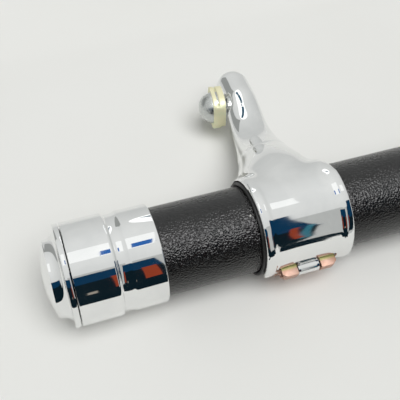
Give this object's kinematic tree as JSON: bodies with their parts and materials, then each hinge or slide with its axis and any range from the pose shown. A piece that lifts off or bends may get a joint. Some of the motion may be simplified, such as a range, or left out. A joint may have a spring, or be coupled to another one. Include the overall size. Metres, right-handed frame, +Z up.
{
  "type": "tubular bar with clamp-on ball-joint arms",
  "caption": "Straight black coated tube with turned chrome end caps and horn-shaped chrome clamp arms that slide and turn on it and carry ball studs with spring clips.",
  "frame": {"origin": "centre of the bounding box at its lowest level, on the surface that the clamp straps lie on", "axes": "+X along the tube, +Y toward the arm tips, +Z up"},
  "size_m": [0.4186, 0.1098, 0.0363],
  "materials": {
    "powder_coat_black": "black leather-grain powder coat on steel",
    "chrome": "polished chrome plate",
    "nylon_black": "black moulded nylon",
    "zinc_yellow": "yellow passivated zinc on steel",
    "steel_bright": "bright zinc plated steel"
  },
  "bodies": {
    "bar": {"tube": "powder_coat_black", "left_cap_sleeve": "chrome", "left_cap_end": "chrome", "left_cap_plug": "nylon_black", "right_cap_sleeve": "chrome", "right_cap_end": "chrome", "right_cap_plug": "nylon_black"},
    "left_slider": {"left_bush": "nylon_black"},
    "left_arm": {"left_bracket": "chrome", "left_hinge_pin": "steel_bright", "left_ball_stud": "steel_bright"},
    "left_lower_clamp": {"left_strap": "zinc_yellow"},
    "left_screw": {"left_clamp_screw": "steel_bright"},
    "left_clip": {"left_ball_clip": "zinc_yellow"},
    "right_slider": {"right_bush": "nylon_black"},
    "right_arm": {"right_bracket": "chrome", "right_hinge_pin": "steel_bright", "right_ball_stud": "steel_bright"},
    "right_lower_clamp": {"right_strap": "zinc_yellow"},
    "right_screw": {"right_clamp_screw": "steel_bright"},
    "right_clip": {"right_ball_clip": "zinc_yellow"}
  },
  "joints": [
    {"name": "left_bush_slide", "type": "slide", "parent": "bar", "child": "left_slider", "axis": [1, 0, 0], "range_m": [-0.03, 0.09]},
    {"name": "left_arm_turn", "type": "hinge", "parent": "left_slider", "child": "left_arm", "pos_m": [-0.1237, -0.03533, 0.018], "axis": [1, 0, 0], "continuous": true},
    {"name": "left_screw_travel", "type": "slide", "parent": "left_arm", "child": "left_screw", "axis": [0, 0, -1], "range_m": [0, 0.0025]},
    {"name": "left_strap_hinge", "type": "hinge", "parent": "left_arm", "child": "left_lower_clamp", "pos_m": [-0.1237, -0.05239, 0.01111], "axis": [-1, 0, 0], "range_deg": [0, 3.8]},
    {"name": "left_clip_turn", "type": "hinge", "parent": "left_arm", "child": "left_clip", "pos_m": [-0.12544, 0.0367, 0.01368], "axis": [-0.9877, 0.1564, 0], "continuous": true},
    {"name": "right_bush_slide", "type": "slide", "parent": "bar", "child": "right_slider", "axis": [-1, 0, 0], "range_m": [-0.03, 0.09]},
    {"name": "right_arm_turn", "type": "hinge", "parent": "right_slider", "child": "right_arm", "pos_m": [0.1237, -0.03533, 0.018], "axis": [1, 0, 0], "continuous": true},
    {"name": "right_screw_travel", "type": "slide", "parent": "right_arm", "child": "right_screw", "axis": [0, 0, -1], "range_m": [0, 0.0025]},
    {"name": "right_strap_hinge", "type": "hinge", "parent": "right_arm", "child": "right_lower_clamp", "pos_m": [0.1237, -0.05239, 0.01111], "axis": [-1, 0, 0], "range_deg": [0, 3.8]},
    {"name": "right_clip_turn", "type": "hinge", "parent": "right_arm", "child": "right_clip", "pos_m": [0.12544, 0.0367, 0.01368], "axis": [-0.9877, -0.1564, 0], "continuous": true}
  ],
  "couplings": [
    {"joint": "left_strap_hinge", "follows": "left_screw_travel", "rad_per_m": 26.5},
    {"joint": "right_strap_hinge", "follows": "right_screw_travel", "rad_per_m": 26.5}
  ]
}
